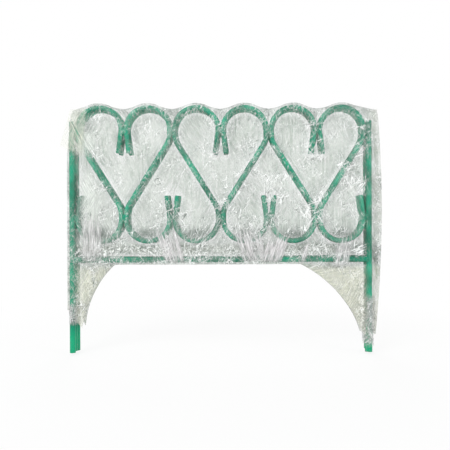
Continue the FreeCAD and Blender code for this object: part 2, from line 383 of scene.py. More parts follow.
# %% Film outline
TOP_Z = 513.0
RIGHT_X = 639.6
CREST_R = TOP_Z - HUMP_Z
WEB_REACH = 24.0
WEB_SAG = 11.0
TOP_LEFT = 499.0
CORNER = 13.0
TOP_RIGHT = (SPAN + POST_R + CORNER, TOP_Z - CORNER)
LAST_X = SPAN - FIRST_X
BULGE_Z = 250.0
LEFT_FOOT_Z = 88.0
RIGHT_FOOT_Z = 36.0
RIGHT_FOOT_REACH = 12.0
LEFT_X = -9.0
FLAP_FOOT_Z = 406.0
ARCH_Z = 181.0
LEFT_ARCH = (20.0 + 50.0j, 38.0 + 117.0j, 84.0 + 181.0j)
RIGHT_ARCH = (470.0 + 181.0j, 549.5 + 121.5j, 600.0 + 36.0j)


def circle(a, b, c):
    """Centre and radius of the circle through three complex points."""
    w = (c - a) / (b - a)
    centre = a + (b - a) * (w - abs(w) ** 2) / (2j * w.imag)
    return centre, abs(centre - a)


def arc_over(x, a, b, c):
    """Height at x of the upper part of the circle through three points."""
    centre, radius = circle(a, b, c)
    return centre.imag + np.sqrt(np.maximum(radius ** 2 - (x - centre.real) ** 2, 0))


def nearest_scroll(x):
    """Middle of the scroll that lies nearest to x."""
    number = np.clip(np.round((x - FIRST_X) / SCROLL_PITCH), 0, SCROLLS - 1)
    return FIRST_X + SCROLL_PITCH * number


def crest(x):
    """Upper edge of the film at x: hump arcs, sagging arcs between them, and lines at both ends."""
    from_hump = x - nearest_scroll(x)
    hump = HUMP_Z + np.sqrt(np.maximum(CREST_R ** 2 - from_hump ** 2, 0))
    leave = HUMP_Z + math.sqrt(CREST_R ** 2 - WEB_REACH ** 2)
    half_web = SCROLL_PITCH / 2 - WEB_REACH
    low = TOP_Z - WEB_SAG
    web_r = (half_web ** 2 + (leave - low) ** 2) / (2 * (leave - low))
    from_web = half_web - (np.abs(from_hump) - WEB_REACH)
    web = low + web_r - np.sqrt(np.maximum(web_r ** 2 - from_web ** 2, 0))
    left = np.interp(x, [LEFT_X, 0, FIRST_X - WEB_REACH], [FLAP_FOOT_Z, TOP_LEFT, leave])
    right = np.interp(x, [LAST_X + WEB_REACH, TOP_RIGHT[0]], [leave, TOP_RIGHT[1]])
    middle = np.where(np.abs(from_hump) <= WEB_REACH, hump, web)
    return np.where(x < FIRST_X - WEB_REACH, left,
                    np.where(x > LAST_X + WEB_REACH, right, middle))


def arch(x):
    """Lower edge of the film at x: foot, arc up to the rail, line along it, and arc down again."""
    left = arc_over(x, *LEFT_ARCH)
    right = arc_over(x, *RIGHT_ARCH)
    edge = np.where(x < LEFT_ARCH[2].real, left, np.where(x > RIGHT_ARCH[0].real, right, ARCH_Z))
    slant = np.interp(x, [LEFT_X, LEFT_ARCH[0].real], [LEFT_FOOT_Z, LEFT_ARCH[0].imag])
    edge = np.where(x < LEFT_ARCH[0].real, slant, edge)
    return np.where(x > RIGHT_ARCH[2].real, RIGHT_FOOT_Z, edge)


def right_edge(z):
    """Right edge of the film at z: the circle through its top corner, its bulge and its foot."""
    foot = SPAN + RIGHT_FOOT_REACH + 1j * RIGHT_FOOT_Z
    centre, radius = circle(complex(*TOP_RIGHT), RIGHT_X + 1j * BULGE_Z, foot)
    return centre.real + np.sqrt(radius ** 2 - (z - centre.imag) ** 2)


print("crest at five places", crest(np.array([0.0, 56, 106, 556, 600])).round(1))
print("arch at four places", arch(np.array([14.0, 50, 300, 560])).round(1))

# %% [markdown]
# ## How the film lies
# Seen from the front the film is a grid from its lower edge to its upper edge. It touches the
# tubes and dips a little into each opening, so its depth depends on how far the nearest tube is.
# At a free edge the front and back sheets draw together. On top of that come creases: each one is
# a ridge that is sharp across and fades out along, laid where the pull of the wrap would lay it.

# %% Lie of the film
FILM_Y = 6.6
DIP = 4.2
DIP_REACH = 17.0
PINCH = 7.0
PINCH_REACH = 14.0
COLUMNS = 322
ROWS = 186
BULGE_COLUMNS = 16
BLOCKS = 60
POST_TOP = 476.0
PULLS = (232 + 150j, 408 + 140j)
PULL_REACH = 120.0
PULL_FADE = 330.0


def tube_points():
    """The centrelines of the front section's tubes as complex points a few mm apart."""
    centre = FIRST_X + SCROLL_PITCH * np.arange(SCROLLS)
    flip = np.where(np.arange(SCROLLS) % 2, -1, 1)
    scrolls = centre[:, None] + flip[:, None] * line.real + 1j * line.imag
    long_run = np.arange(0, SPAN, STATION)
    uprights = [x + 1j * np.arange(0, POST_TOP, STATION) for x in (0, SPAN)]
    return np.concatenate([scrolls.ravel(), long_run + 1j * RAIL_Z, *uprights])


def distance_to_tubes(x, z):
    """Distance from each grid point to the nearest tube centreline, in blocks to save memory."""
    targets = tube_points().astype(np.complex64)
    flat = (x + 1j * z).ravel().astype(np.complex64)
    blocks = [np.abs(block[:, None] - targets).min(axis=1) for block in np.array_split(flat, BLOCKS)]
    return np.concatenate(blocks).reshape(x.shape)


def lay_angle(x, z, spread):
    """Which way the film is pulled, as an angle: upright high up, and towards the two bunches
    near them. The directions are added as doubled angles, because a crease has no front end."""
    here = x + 1j * z
    total = (0.25 + np.clip((z - ARCH_Z) / PULL_FADE, 0, 1)) * np.exp(1j * np.pi)
    for pull in PULLS:
        away = pull - here
        total = total + 1.6 * np.exp(-np.abs(away) / PULL_REACH) * np.exp(2j * np.angle(away))
    return np.angle(total) / 2 + spread * rng.normal(size=np.shape(x))


def creases(x, z, centre_x, centre_z, angle, half_length, half_width, height):
    """Sum of ridges: height exp(-|across| / half width) (1 - (along / half length)^2)^2."""
    total = np.zeros_like(x)
    for cx, cz, a, reach, width, tall in zip(centre_x, centre_z, angle, half_length, half_width, height):
        near = (np.abs(x - cx) < reach) & (np.abs(z - cz) < reach)
        dx, dz = x[near] - cx, z[near] - cz
        along = dx * math.cos(a) + dz * math.sin(a)
        across = dz * math.cos(a) - dx * math.sin(a)
        fade = np.clip(1 - (along / reach) ** 2, 0, 1) ** 2
        total[near] += tall * fade * np.exp(-np.abs(across) / width)
    return total


def sheet_grid():
    """x and z of the wrap seen from the front, and the left-to-right place that each column has."""
    margin = RIGHT_X - SPAN
    bulge = SPAN + margin * np.linspace(0, 1, BULGE_COLUMNS + 1)[1:]
    place = np.concatenate([np.linspace(LEFT_X, SPAN, COLUMNS - BULGE_COLUMNS), bulge])
    nominal = np.where(place > SPAN, SPAN + (place - SPAN) * (TOP_RIGHT[0] - SPAN) / margin, place)
    share = np.linspace(0, 1, ROWS)[:, None]
    z = arch(nominal) + (crest(nominal) - arch(nominal)) * share
    x = np.where(place > SPAN, SPAN + (place - SPAN) * (right_edge(z) - SPAN) / margin, place + 0 * z)
    return x, z, nominal


film_x, film_z, film_place = sheet_grid()
film_gap = distance_to_tubes(film_x, film_z)
edge_gap = np.minimum(film_z - arch(film_place), crest(film_place) - film_z)
edge_gap = np.minimum(edge_gap, right_edge(film_z) - film_x)
print("film grid", film_x.shape, "widest opening", round(float(2 * film_gap.max())), "mm")

# %% Depth of the front and back sheets
def settled(side_y, inward, lines):
    """Depth of a sheet: it stands at the tubes' face, dips as 1 - exp(-(gap / reach)^2) between
    them, and is drawn in at free edges by exp(-edge gap / reach)."""
    free = np.clip((film_gap - 8) / 20, 0, 1)
    dip = DIP * (1 - np.exp(-(film_gap / DIP_REACH) ** 2))
    pinch = PINCH * np.exp(-edge_gap / PINCH_REACH) * free
    return side_y + inward * (dip + pinch - lines)


def crease_lines(count, low, high, spread, size):
    """Random creases over the wrap: places, directions, lengths, widths and heights."""
    x = rng.uniform(0, SPAN, count)
    z = rng.uniform(low, high, count)
    long = rng.uniform(12, 40, count) * size
    wide = rng.uniform(1.0, 2.6, count) * size
    tall = rng.uniform(0.35, 1.0, count) * size
    return x, z, lay_angle(x, z, spread), long, wide, tall


front_lines = creases(film_x, film_z, *crease_lines(520, 190, 505, 0.28, 1.0))
front_lines += creases(film_x, film_z, *crease_lines(420, 182, 228, 1.2, 0.6))
front_lines += creases(film_x, film_z, *crease_lines(160, 60, 250, 0.7, 1.0))
back_lines = creases(film_x, film_z, *crease_lines(420, 60, 505, 0.5, 1.1))
front_y = settled(-FILM_Y, 1, front_lines)
back_y = settled(2 * STACK_PITCH + FILM_Y, -1, back_lines)
print("front sheet from", front_y.min().round(1), "to", front_y.max().round(1), "mm")

# %% [markdown]
# ## Stretch film
# Polyethylene film, blown thin and stretched until it clings: IOR 1.51 and a smooth face, but
# each pull leaves fine milky streaks along its length. They are noise drawn out in object space,
# which keeps its real size on every piece. They run up the film, lean over in some regions, and
# follow two fan-shaped UV maps out from the two places where the film is bunched.

# %% Streaks along the pull
STREAK_MM = (2.4, 42.0)
FINE_STREAK_MM = (1.3, 26.0)
STREAK_DEPTH_MM = 40.0
SLANT_AREA_MM = 75.0


def streaks(tree, coordinates, angle, size, offset, detail=3.0):
    """Noise drawn out along one direction: size is its width and length in mm."""
    stretched = add(tree, "ShaderNodeMapping",
                    {"vector_type": "TEXTURE", "Rotation": (0, angle, 0),
                     "Location": (offset * MM, 0, 0),
                     "Scale": (size[0] * MM, STREAK_DEPTH_MM * MM, size[1] * MM)},
                    {"Vector": coordinates})
    return add(tree, "ShaderNodeTexNoise", {"Scale": 1.0, "Detail": detail, "Roughness": 0.6},
               {"Vector": stretched})


def pulled_streaks(tree, where, fans):
    """Streaks that run up the film, lean over in some regions and fan out from each bunch."""
    broad = streaks(tree, where, 0.0, STREAK_MM, 0)
    fine = streaks(tree, where, -0.12, FINE_STREAK_MM, 300)
    pull = add(tree, "ShaderNodeMix", {0: 0.4}, {2: broad, 3: fine})
    for degrees, offset in ((27, 2800), (-30, 3500)):
        slanting = streaks(tree, where, math.radians(degrees), FINE_STREAK_MM, offset)
        moved = add(tree, "ShaderNodeVectorMath", {"operation": "ADD", 1: (offset * MM, 0.0, 0.0)},
                    {0: where})
        region = add(tree, "ShaderNodeTexNoise", {"Scale": 1 / (SLANT_AREA_MM * MM), "Detail": 0.0},
                     {"Vector": moved})
        region = add(tree, "ShaderNodeMapRange", {"From Min": 0.47, "From Max": 0.57, "To Max": 0.85},
                     {"Value": region})
        pull = add(tree, "ShaderNodeMix", {}, {0: region, 2: pull, 3: slanting})
    for side in ("fan_left", "fan_right") if fans else ():
        polar = add(tree, "ShaderNodeUVMap", {"uv_map": side})
        mask = add(tree, "ShaderNodeAttribute", {"attribute_name": side + "_near"}).outputs["Fac"]
        spread = add(tree, "ShaderNodeTexNoise",
                     {"noise_dimensions": "2D", "Scale": 1.0, "Detail": 3.0}, {"Vector": polar})
        pull = add(tree, "ShaderNodeMix", {}, {0: mask, 2: pull, 3: spread})
    return pull


print("streaks", STREAK_MM, "mm wide and long, finer ones", FINE_STREAK_MM)

# %% [markdown]
# ## Wrinkles, and film that sticks or is crushed
# Wrinkles cross the pull as thin wandering lines, each with a painted highlight on one side and
# painted shade on the other. Where a turn sticks to a tube it shows short white nicks, which are
# painted glints, and bare flecks, and where it is crushed it breaks into folds with painted
# highlights and valleys with painted shade. Each comes from a noise, which says what it looks like,
# times a point field of the sheet, which says where it is.

# %% Wrinkles
WRINKLE_MM = (9.0, 95.0)
WRINKLED_AREA_MM = 34.0
WRINKLE_WIDTH = 0.012


def wrinkles(tree, coordinates, degrees, offset, width):
    """Thin wandering lines, each with a painted highlight side and a painted shade side: where
    drawn-out noise is close to one half, and where it is a little more."""
    noise = streaks(tree, coordinates, math.radians(degrees), WRINKLE_MM, offset, 2.0)
    light = add(tree, "ShaderNodeMath", {"operation": "COMPARE", 1: 0.5}, {0: noise, 2: width})
    crease_shade = add(tree, "ShaderNodeMath", {"operation": "COMPARE", 1: 0.53}, {0: noise, 2: width})
    return light, crease_shade


def crossing_wrinkles(tree, where, hair, contrast):
    """Wrinkles at four slants: their painted highlights and their painted shade, wider where hair is high.
    """
    area = add(tree, "ShaderNodeTexNoise", {"Scale": 1 / (WRINKLED_AREA_MM * MM), "Detail": 1.0},
               {"Vector": where})
    amount = add(tree, "ShaderNodeMapRange",
                 {"From Min": 0.42, "From Max": 0.66, "To Max": WRINKLE_WIDTH * contrast}, {"Value": area})
    width = add(tree, "ShaderNodeMath", {"operation": "MULTIPLY"}, {0: amount, 1: hair})
    light, crease_shade = wrinkles(tree, where, 38, 90, width)
    for degrees, offset in ((-34, 700), (4, 1400), (72, 2100)):
        more_crease_highlight, more_crease_shade = wrinkles(tree, where, degrees, offset, width)
        light = add(tree, "ShaderNodeMath", {"operation": "MAXIMUM"}, {0: light, 1: more_crease_highlight})
        crease_shade = add(tree, "ShaderNodeMath", {"operation": "MAXIMUM"}, {0: crease_shade, 1: more_crease_shade})
    return light, crease_shade


print("wrinkles", WRINKLE_MM, "mm wide and long")

# %% Film that sticks or is crushed
FLECK_MM = 3.2
NICK_MM = (1.5, 12.0)
CRUMPLE_MM = 5.0


def stuck_film(tree, where, cling):
    """White nicks, which are painted glints, and bare flecks where the film clings, and the noise behind
    the flecks.
    """
    flake = add(tree, "ShaderNodeTexNoise",
                {"Scale": 1 / (FLECK_MM * MM), "Detail": 2.0, "Distortion": 1.0}, {"Vector": where})
    nicks = [streaks(tree, where, math.radians(degrees), NICK_MM, offset, 1.0)
             for degrees, offset in ((42, 1680), (-37, -1480), (12, 480))]
    cling_glints = add(tree, "ShaderNodeMath", {"operation": "MAXIMUM"}, {0: nicks[0], 1: nicks[1]})
    cling_glints = add(tree, "ShaderNodeMath", {"operation": "MAXIMUM"}, {0: cling_glints, 1: nicks[2]})
    cling_glints = add(tree, "ShaderNodeMapRange", {"From Min": 0.635, "From Max": 0.67}, {"Value": cling_glints})
    cling_glints = add(tree, "ShaderNodeMath", {"operation": "MULTIPLY"}, {0: cling_glints, 1: cling})
    bare = add(tree, "ShaderNodeMapRange", {"From Min": 0.48, "From Max": 0.4, "To Max": 0.8},
               {"Value": flake})
    bare = add(tree, "ShaderNodeMath", {"operation": "MULTIPLY"}, {0: bare, 1: cling})
    return cling_glints, bare, flake


def crushed_film(tree, where, crumple):
    """Folds with painted highlights and valleys with painted shade where the film is crushed, and the
    noise behind them.
    """
    crush = add(tree, "ShaderNodeTexNoise",
                {"Scale": 1 / (CRUMPLE_MM * MM), "Detail": 4.0, "Distortion": 1.5}, {"Vector": where})
    fold_highlights = add(tree, "ShaderNodeMapRange", {"From Min": 0.5, "From Max": 0.62}, {"Value": crush})
    fold_highlights = add(tree, "ShaderNodeMath", {"operation": "MULTIPLY"}, {0: fold_highlights, 1: crumple})
    valley_shade = add(tree, "ShaderNodeMapRange", {"From Min": 0.48, "From Max": 0.36}, {"Value": crush})
    valley_shade = add(tree, "ShaderNodeMath", {"operation": "MULTIPLY"}, {0: valley_shade, 1: crumple})
    return fold_highlights, valley_shade, crush


print("nicks", NICK_MM, "mm, crushed folds about", CRUMPLE_MM, "mm")

# %% [markdown]
# ## The film's material
# Several turns lie on each other, so how much the film hides changes from place to place.
# Transparency comes from alpha, because film this thin doesn't bend what is behind it. The colour
# goes white for milky ropes and for painted highlights and glints, and grey for painted shade.
# Whatever is white or grey also hides more, so each kind of line adds its share to the alpha.

# %% Film material
FIELDS = ("milk", "crumple", "shade", "hair", "cling", "warm")
WARM_FILM = "#E6E6D2"
# SHADOW_LINE is the colour of painted shade; the white line colour is that of milky ropes and painted
# highlights.
SHADOW_LINE = "#56655C"
WHITE_AND_GLINT_LINE = "#FDFEFC"


def stretch_film(name, tint, contrast=1.0, fans=False):
    """Clear stretch film: tint is its milky colour and contrast how strongly its streaks show."""
    material, tree = new_material(name)
    where = add(tree, "ShaderNodeTexCoord").outputs["Object"]
    field = {key: add(tree, "ShaderNodeAttribute", {"attribute_name": key}).outputs["Fac"]
             for key in FIELDS}
    pull = pulled_streaks(tree, where, fans)
    thick = add(tree, "ShaderNodeMapRange",
                {"interpolation_type": "SMOOTHSTEP", "From Min": 0.36, "From Max": 0.66,
                 "To Min": 1 - 0.55 * contrast, "To Max": 1 + 0.75 * contrast}, {"Value": pull})
    ropes = add(tree, "ShaderNodeMapRange", {"From Min": 0.58, "From Max": 0.66, "To Max": 0.8},
                {"Value": pull})
    trough_shade = add(tree, "ShaderNodeMapRange",
                  {"From Min": 0.45, "From Max": 0.32, "To Max": 0.22 * contrast}, {"Value": pull})
    light, crease_shade = crossing_wrinkles(tree, where, field["hair"], contrast)
    cling_glints, bare, flake = stuck_film(tree, where, field["cling"])
    fold_highlights, valley_shade, crush = crushed_film(tree, where, field["crumple"])

    # The white is milky ropes plus painted highlights and glints of wrinkles, nicks and folds.
    white_and_glints = light
    for part in (ropes, cling_glints, fold_highlights):
        white_and_glints = add(tree, "ShaderNodeMath", {"operation": "MAXIMUM"}, {0: white_and_glints, 1: part})
    # The grey is painted shade: the dark sides of wrinkles, streak troughs, crushed valleys and the shade
    # field.
    grey = crease_shade
    for part in (trough_shade, valley_shade, field["shade"]):
        grey = add(tree, "ShaderNodeMath", {"operation": "MAXIMUM"}, {0: grey, 1: part})
    colour = add(tree, "ShaderNodeMix", {"data_type": "RGBA", 6: linear(tint), 7: linear(WARM_FILM)},
                 {0: field["warm"]}).outputs[2]
    for part, tone in ((grey, SHADOW_LINE), (white_and_glints, WHITE_AND_GLINT_LINE)):
        colour = add(tree, "ShaderNodeMix", {"data_type": "RGBA", 7: linear(tone)},
                     {0: part, 6: colour}).outputs[2]

    alpha = add(tree, "ShaderNodeMath", {"operation": "MULTIPLY"}, {0: field["milk"], 1: thick})
    clear = add(tree, "ShaderNodeMath", {"operation": "SUBTRACT", 0: 1.0}, {1: bare})
    alpha = add(tree, "ShaderNodeMath", {"operation": "MULTIPLY"}, {0: alpha, 1: clear})
    for part, share in ((light, 0.62), (crease_shade, 0.22), (ropes, 0.25 * contrast), (cling_glints, 0.6),
                        (fold_highlights, 0.65), (valley_shade, 0.5)):
        alpha = add(tree, "ShaderNodeMath", {"operation": "MULTIPLY_ADD", 1: share},
                    {0: part, 2: alpha})
    alpha = add(tree, "ShaderNodeClamp", {"Min": 0.03, "Max": 0.97}, {"Value": alpha})

    relief = pull
    for noise, key in ((crush, "crumple"), (flake, "cling")):
        relief = add(tree, "ShaderNodeMath", {"operation": "MULTIPLY_ADD"},
                     {0: noise, 1: field[key], 2: relief})
    bump = add(tree, "ShaderNodeBump", {"Strength": 0.7, "Distance": 1.4 * MM}, {"Height": relief})
    shader = add(tree, "ShaderNodeBsdfPrincipled", {"IOR": 1.51, "Roughness": 0.22},
                 {"Base Color": colour, "Alpha": alpha, "Normal": bump})
    add(tree, "ShaderNodeOutputMaterial", {}, {"Surface": shader})
    return material


front_film = stretch_film("clear_stretch_film_front", "#E4EAE2", 1.0, fans=True)
# The back sheet's tint is darker than the front's: painted shade, as less light reaches it behind the
# fence and the front sheet.
shaded_back_film = stretch_film("clear_stretch_film_back", "#CCD4C9", 0.8)
rim_film = stretch_film("clear_stretch_film_edge", "#D4D5CA", 1.0)
bunch_film = stretch_film("bunched_stretch_film", "#E9E5E6", 1.0, fans=True)
loose_film = stretch_film("loose_stretch_film", "#E6EADB", 0.7)
print("film materials", [m.name for m in bpy.data.materials if "film" in m.name])

# %% [markdown]
# ## Where the film is milky, creased or grey
# The point fields tell the material what the wrap does at each place: "milk" is how much it hides,
# "crumple" how crushed it is, "shade" how much painted shade greys it, "hair" how many wrinkles
# cross it, "cling" where it sticks to a tube and "warm" where it is yellowish. Over most of the
# fence two or three turns lie flat. Below the rail the film is thick and yellowish, and in the strip
# between the scrolls and the rail it is crushed and greyed by painted shade, as it is at the bottom
# of each lobe and in the webs between the humps. Other places are soft ellipses: centre, size,
# angle and amount.

# %% Patches and waves
CLEAR_PATCHES = [
    (0, 352, 14, 66, 0, -0.24), (70, 365, 10, 52, 32, -0.22), (108, 462, 12, 30, 15, -0.12),
    (206, 340, 9, 70, 32, -0.10), (285, 270, 14, 60, 0, -0.14), (452, 232, 40, 12, 8, -0.20),
    (560, 236, 44, 14, 0, -0.18), (612, 160, 14, 96, 0, -0.24), (470, 350, 10, 62, -32, -0.12),
    (560, 505, 46, 12, 0, -0.12), (395, 330, 9, 60, 32, -0.10), (148, 196, 44, 8, 0, -0.16),
    (438, 191, 12, 9, 0, -0.26), (530, 189, 36, 8, 0, -0.18), (330, 470, 16, 40, 0, -0.08),
    (612, 330, 12, 80, 0, -0.18), (340, 191, 12, 9, 0, -0.24), (0, 130, 10, 80, 0, -0.08),
    (456, 229, 24, 7, 0, -0.12), (9, 455, 6, 18, 29, -0.6), (584, 191, 26, 8, 0, -0.26),
]
MILKY_PATCHES = [
    (44, 250, 34, 62, 0, 0.26), (2, 462, 18, 36, 0, 0.34), (28, 430, 16, 30, 20, 0.4),
    (575, 300, 24, 60, 0, 0.16), (230, 262, 30, 40, 20, 0.18), (415, 262, 44, 44, 0, 0.18),
    (566, 150, 36, 40, 0, 0.14), (204, 470, 16, 60, 0, 0.14), (160, 330, 14, 60, -32, 0.12),
    (389, 191, 34, 9, 0, 0.3), (34, 318, 16, 50, 0, 0.42), (14, 420, 14, 22, 0, 0.2),
]
CRUSHED_PATCHES = [
    (106, 478, 12, 14, 0, 0.6), (590, 366, 12, 26, 0, 0.7), (542, 186, 14, 10, 0, 0.5),
    (578, 160, 16, 14, 0, 0.5), (206, 410, 12, 26, 0, 0.35), (84, 300, 10, 22, 20, 0.3),
    (150, 262, 16, 10, 0, 0.4), (516, 280, 10, 20, 0, 0.4), (22, 470, 12, 16, 0, 0.4),
]


def patches(x, z, places):
    """Sum of amount exp(-(across / width)^2 - (along / length)^2) over turned ellipses."""
    total = np.zeros_like(x)
    for cx, cz, across, along, degrees, amount in places:
        turned = ((x - cx) + 1j * (z - cz)) * np.exp(-1j * math.radians(degrees))
        total += amount * np.exp(-(turned.real / across) ** 2 - (turned.imag / along) ** 2)
    return total


def waves(x, z, seed, longest, shortest):
    """Smooth random field near -1 to 1: forty sine waves of random direction and phase."""
    local = np.random.default_rng(seed)
    k = 2 * np.pi / local.uniform(shortest, longest, 40) * np.exp(1j * local.uniform(0, np.pi, 40))
    phase = local.uniform(0, 2 * np.pi, 40)
    return sum(np.sin(x * w.real + z * w.imag + p) for w, p in zip(k, phase)) / 6.3


print("patches", [len(places) for places in (CLEAR_PATCHES, MILKY_PATCHES, CRUSHED_PATCHES)])

# %% Regions of the front sheet
FAN_REACH = 135.0
FAN_TURN = 22.0
FAN_RUN = 55.0


def polar_map(pull):
    """Fan-shaped coordinates about a pull point: angle times FAN_TURN, distance over FAN_RUN."""
    away = film_x + 1j * film_z - pull
    return np.stack([np.angle(away) * FAN_TURN, np.abs(away) / FAN_RUN], axis=-1)


web = np.clip((ARCH_Z + 4 - film_z) / 16, 0, 1)
strip = np.clip((226 - film_z) / 8, 0, 1) * np.clip((film_z - 176) / 8, 0, 1)
lobe_x = nearest_scroll(film_x)
# The bottom of each lobe and the webs between the humps: milkier film there, and painted shade.
lobe_low = np.exp(-((film_x - lobe_x) / 34) ** 2 - ((film_z - 245) / 15) ** 2)
off_hump = SCROLL_PITCH / 2 - np.abs(film_x - lobe_x)
crest_web = np.exp(-(off_hump / 20) ** 2 - ((film_z - 503) / 12) ** 2)
cover = np.clip(2.2 * patches(film_x, film_z, MILKY_PATCHES) + 0.9 * lobe_low, 0, 1)
on_tube = np.exp(-(film_gap / 11.5) ** 4) * (1 - cover)
left_side = np.clip((300 - film_x) / 100, 0.35, 1)
rim_shadow = np.exp(-((film_gap - 7.5) / 3.5) ** 2) * np.clip((420 - film_z) / 120, 0.3, 1)
right_share = np.clip((film_x - 120) / 300, 0, 1) * np.clip((470 - film_z) / 120, 0, 1)
open_share = np.clip(1 + 4.5 * patches(film_x, film_z, CLEAR_PATCHES), 0.08, 1)
calm = 1 - 0.75 * web * np.clip((film_x - 60) / 200, 0.3, 1)
near = [0.85 * np.exp(-(np.abs(film_x + 1j * film_z - pull) / FAN_REACH) ** 4) for pull in PULLS]
print("film on a tube", round(float(on_tube.mean()), 2), "of the sheet, webs", round(float(web.mean()), 2))

# %% Fields of the front sheet
spots = patches(film_x, film_z, CLEAR_PATCHES + MILKY_PATCHES)
milk = 0.25 + 0.07 * waves(film_x, film_z, 1, 120, 26) + spots
milk = milk + 0.12 * strip + 0.24 * web + 0.6 * lobe_low + 0.3 * crest_web
milk = np.clip(milk * (1 - 0.92 * on_tube), 0.03, 0.85)
crumple = 0.12 + 0.8 * strip - 0.06 * web + 0.14 * web * left_side
crumple = crumple + 0.2 * waves(film_x, film_z, 2, 90, 20) + 0.3 * crest_web
crumple = crumple + 0.5 * np.exp(-((film_x - 596) / 14) ** 2) * web
crumple = np.clip(crumple + patches(film_x, film_z, CRUSHED_PATCHES), 0, 1) * open_share
# Painted shade: grey in the crushed strip, at the lobe bottoms, in the webs between the humps, beside the
# tubes and on the right bulge.
shade = 0.42 * strip + 0.95 * lobe_low + 0.75 * crest_web + 0.06 * waves(film_x, film_z, 3, 100, 25)
shade = shade + 0.12 * rim_shadow + 0.4 * strip * np.clip((film_x - 520) / 60, 0, 1)
shade = shade + 0.22 * np.clip((film_x - SPAN - 6) / 8, 0, 1)
shade = np.clip(shade, 0, 0.9)
hair = np.clip(0.45 + 0.55 * right_share + 0.3 * waves(film_x, film_z, 5, 120, 30), 0.1, 1)
hair = hair * open_share * calm
cling = on_tube * np.clip(0.75 + 0.4 * waves(film_x, film_z, 6, 70, 20), 0.2, 1) * open_share
warm = np.clip(0.9 * web + 0.25 * strip + 0.4 * np.clip((film_x - SPAN) / 10, 0, 1), 0, 1)
print("milk", milk.min().round(2), milk.mean().round(2), milk.max().round(2))

# %% Front and back sheets
def upright(x, y, z):
    """Stacks three arrays into points."""
    return np.stack([x, y, z], axis=-1)


front_points = upright(film_x, front_y, film_z)
back_points = upright(film_x, back_y, film_z)
fields = {"milk": [milk], "crumple": [crumple], "shade": [shade], "hair": [hair], "cling": [cling],
          "warm": [warm], "fan_left_near": [near[0]], "fan_right_near": [near[1]]}
fans = {"fan_left": [polar_map(PULLS[0])], "fan_right": [polar_map(PULLS[1])]}
film_front = make_piece("film_front_sheet", front_film, [front_points],
                        fields=fields, maps=fans)
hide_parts("film_front")
back_milk = 0.52 + 0.08 * waves(film_x, film_z, 4, 160, 40) + 0.14 * web + 0.1 * strip
back_milk = back_milk + 0.06 * np.clip((film_z - 410) / 30, 0, 1)
back_milk = np.clip(back_milk * (1 - 0.6 * on_tube), 0.1, 0.9)
back_fields = {"milk": [back_milk[:, ::-1]], "crumple": [(0.6 * crumple)[:, ::-1]],
               "shade": [(0.7 * shade)[:, ::-1]], "hair": [0.8 * hair[:, ::-1]],
               "warm": [warm[:, ::-1]], "cling": [cling[:, ::-1]]}
film_back = make_piece("film_back_sheet", shaded_back_film, [back_points[:, ::-1]],
                       fields=back_fields)
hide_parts("film_back")

# %% [markdown]
# ## The edges of the wrap
# Over the humps, down both sides and round the arch the film turns from front to back across
# three rows of tube. Each edge is a strip lofted between the edge of the front sheet and that of
# the back sheet, so no seam can open. It swells outwards between them and dips between the rows.

# %% Edge strips
ACROSS = 15
SWELL = 1.6
ROW_DIP = 0.9
SET_BACK = 1.6
RIDGE_STEP = 9.0


def edge_strip(front, back, outward, seed):
    """Loft front (1 - v) + back v, plus outward times swell 4 v (1 - v), less a dip that follows
    cos of the depth between rows, plus ridges that cross the strip at random places."""
    v = np.linspace(0, 1, ACROSS)[:, None, None]
    base = front * (1 - v) + back * v
    along = np.concatenate([[0], np.cumsum(np.linalg.norm(np.diff(front, axis=0), axis=1))])
    local = np.random.default_rng(seed)
    ridge = np.zeros((ACROSS, len(along)))
    for centre in np.arange(0, along[-1], RIDGE_STEP):
        place = centre + local.uniform(-6, 6) + local.uniform(-8, 8) * (v[:, :, 0] - 0.5)
        ridge += local.uniform(0.1, 0.9) * np.exp(-np.abs(along - place) / local.uniform(1.0, 2.5))
    hold = 4 * v[:, :, 0] * (1 - v[:, :, 0])
    rows = 0.5 - 0.5 * np.cos(2 * np.pi * base[..., 1] / STACK_PITCH)
    out = hold * (SWELL - ROW_DIP * rows + 0.8 * ridge) - SET_BACK
    return base + outward * (out * np.minimum(1, 3 * hold))[..., None], along


def outward_of(edge):
    """Unit normal of an edge in the plane of the fence, to the left of its direction."""
    step = np.gradient(edge[:, 0] + 1j * edge[:, 2])
    normal = 1j * step / np.abs(step)
    return np.stack([normal.real, 0 * normal.real, normal.imag], axis=-1)


def strip_piece(name, node, front, back, seed, look):
    """An edge strip as a piece, with its fields."""
    points, along = edge_strip(front, back, outward_of(front), seed)
    x = along + 0 * points[..., 0]
    y = points[..., 1]
    base_milk, base_crumple, base_shade, base_warm = look
    fields = {"milk": [np.clip(base_milk + 0.1 * waves(x, y, seed, 90, 20), 0.05, 0.9)],
              "crumple": [np.clip(base_crumple + 0.3 * waves(x, y, seed + 1, 60, 15), 0, 1)],
              "shade": [np.clip(base_shade + 0.15 * waves(x, y, seed + 2, 60, 15), 0, 1)]}
    fields["hair"] = [0.6 + 0 * x]
    fields["warm"] = [base_warm + 0 * x]
    fields = {key: [value[0][:, ::-1]] for key, value in fields.items()}
    piece = make_piece(name, rim_film, [points[:, ::-1]], fields=fields)
    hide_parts(node)


inner = (film_place > LEFT_ARCH[0].real) & (film_place < RIGHT_ARCH[2].real)
